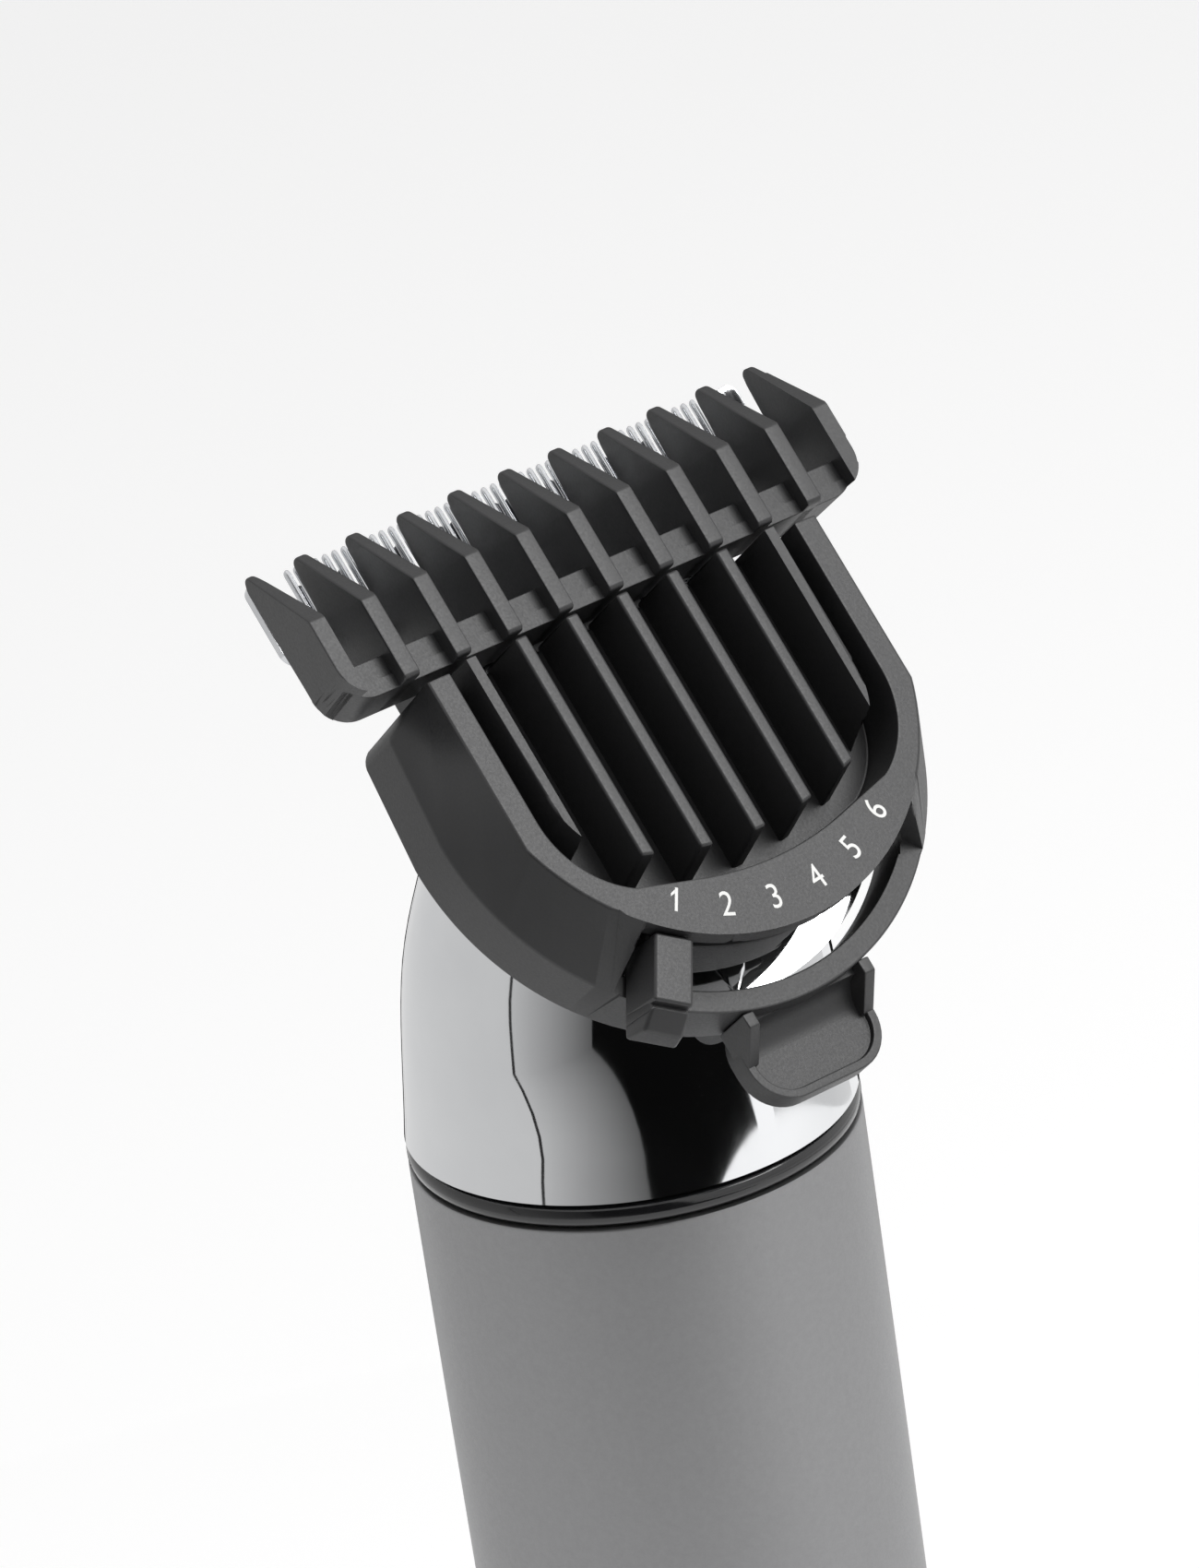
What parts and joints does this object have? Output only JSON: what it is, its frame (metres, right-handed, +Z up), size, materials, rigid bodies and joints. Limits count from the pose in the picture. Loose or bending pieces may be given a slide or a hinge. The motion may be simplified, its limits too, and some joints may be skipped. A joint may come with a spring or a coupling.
{
  "type": "hair clipper",
  "caption": "Cordless hair clipper: satin round handle, chrome leaning head, toothed blades, and a clip-on guard with a sliding comb set by a numbered dial.",
  "frame": {"origin": "centre of the flat bottom face, on the axis of the round body", "axes": "+Z up the body towards the head, -Y the front that the comb faces, +X along the blades"},
  "size_m": [0.0412, 0.0371, 0.1677],
  "materials": {
    "satin_metal": "satin painted aluminium sleeve",
    "chrome": "mirror chrome plating",
    "black_gloss": "glossy black moulding",
    "black_plastic": "satin black moulding",
    "guard_plastic": "satin black moulding with fine flow lines",
    "white_plastic": "plain acetal moulding",
    "steel": "plain bright steel",
    "blade_steel": "ground and polished steel",
    "brass": "plain brass",
    "rubber": "matte seal",
    "board": "coated fibreglass",
    "cell_wrap": "shrink film",
    "lens": "moulded light guide"
  },
  "bodies": {
    "handle": {"sleeve": "satin_metal", "base_cap": "black_plastic", "charge_socket": "steel", "chassis": "black_plastic", "battery_cell": "cell_wrap", "battery_contact_lower": "brass", "battery_contact_upper": "brass", "circuit_board": "board", "tact_switch": "white_plastic", "charge_light": "lens", "base_screw_left": "steel", "base_screw_right": "steel", "collar_ring": "black_gloss", "motor_can": "steel", "motor_mount": "white_plastic", "motor_screw_left": "steel", "motor_screw_right": "steel", "head_shell": "chrome", "head_frame": "black_plastic", "neck_seal": "rubber", "arm_pivot_pin": "steel", "blade_carrier": "black_plastic", "fixed_blade": "blade_steel", "cutter_spring": "steel", "blade_screw_left": "steel", "blade_screw_right": "steel"},
    "power_button": {"power_button": "black_plastic"},
    "rotor": {"motor_shaft": "steel", "crank": "brass"},
    "drive_arm": {"drive_arm": "white_plastic"},
    "cutter": {"moving_cutter": "blade_steel", "cutter_driver": "white_plastic"},
    "guard": {"guard_base": "guard_plastic", "dial_retainer": "steel"},
    "comb": {"comb_slider": "guard_plastic"},
    "dial": {"dial": "guard_plastic"}
  },
  "joints": [
    {"name": "power_press", "type": "slide", "parent": "handle", "child": "power_button", "axis": [0, 1, 0], "range_m": [0, 0.0005], "stiffness_N_per_m": 400},
    {"name": "motor_spin", "type": "hinge", "parent": "handle", "child": "rotor", "pos_m": [0, 0, 0.14], "axis": [0, 0, 1], "continuous": true},
    {"name": "arm_swing", "type": "hinge", "parent": "handle", "child": "drive_arm", "pos_m": [0, -0.00597, 0.14179], "axis": [0, -0.7752, 0.6318], "range_deg": [-3.94, 3.94]},
    {"name": "cutter_slide", "type": "slide", "parent": "handle", "child": "cutter", "axis": [1, 0, 0], "range_m": [-0.0011, 0.0011]},
    {"name": "guard_off", "type": "slide", "parent": "handle", "child": "guard", "axis": [0, -0.7752, 0.6318], "range_m": [0, 0.012]},
    {"name": "dial_turn", "type": "hinge", "parent": "guard", "child": "dial", "pos_m": [0, -0.00634, 0.15241], "axis": [0, -0.7752, 0.6318], "range_deg": [0, 67.5]},
    {"name": "comb_lift", "type": "slide", "parent": "guard", "child": "comb", "axis": [0, 0.6318, 0.7752], "range_m": [0, 0.005]}
  ],
  "couplings": [
    {"joint": "arm_swing", "follows": "cutter_slide", "rad_per_m": -62.5},
    {"joint": "dial_turn", "follows": "comb_lift", "rad_per_m": 235.62}
  ]
}
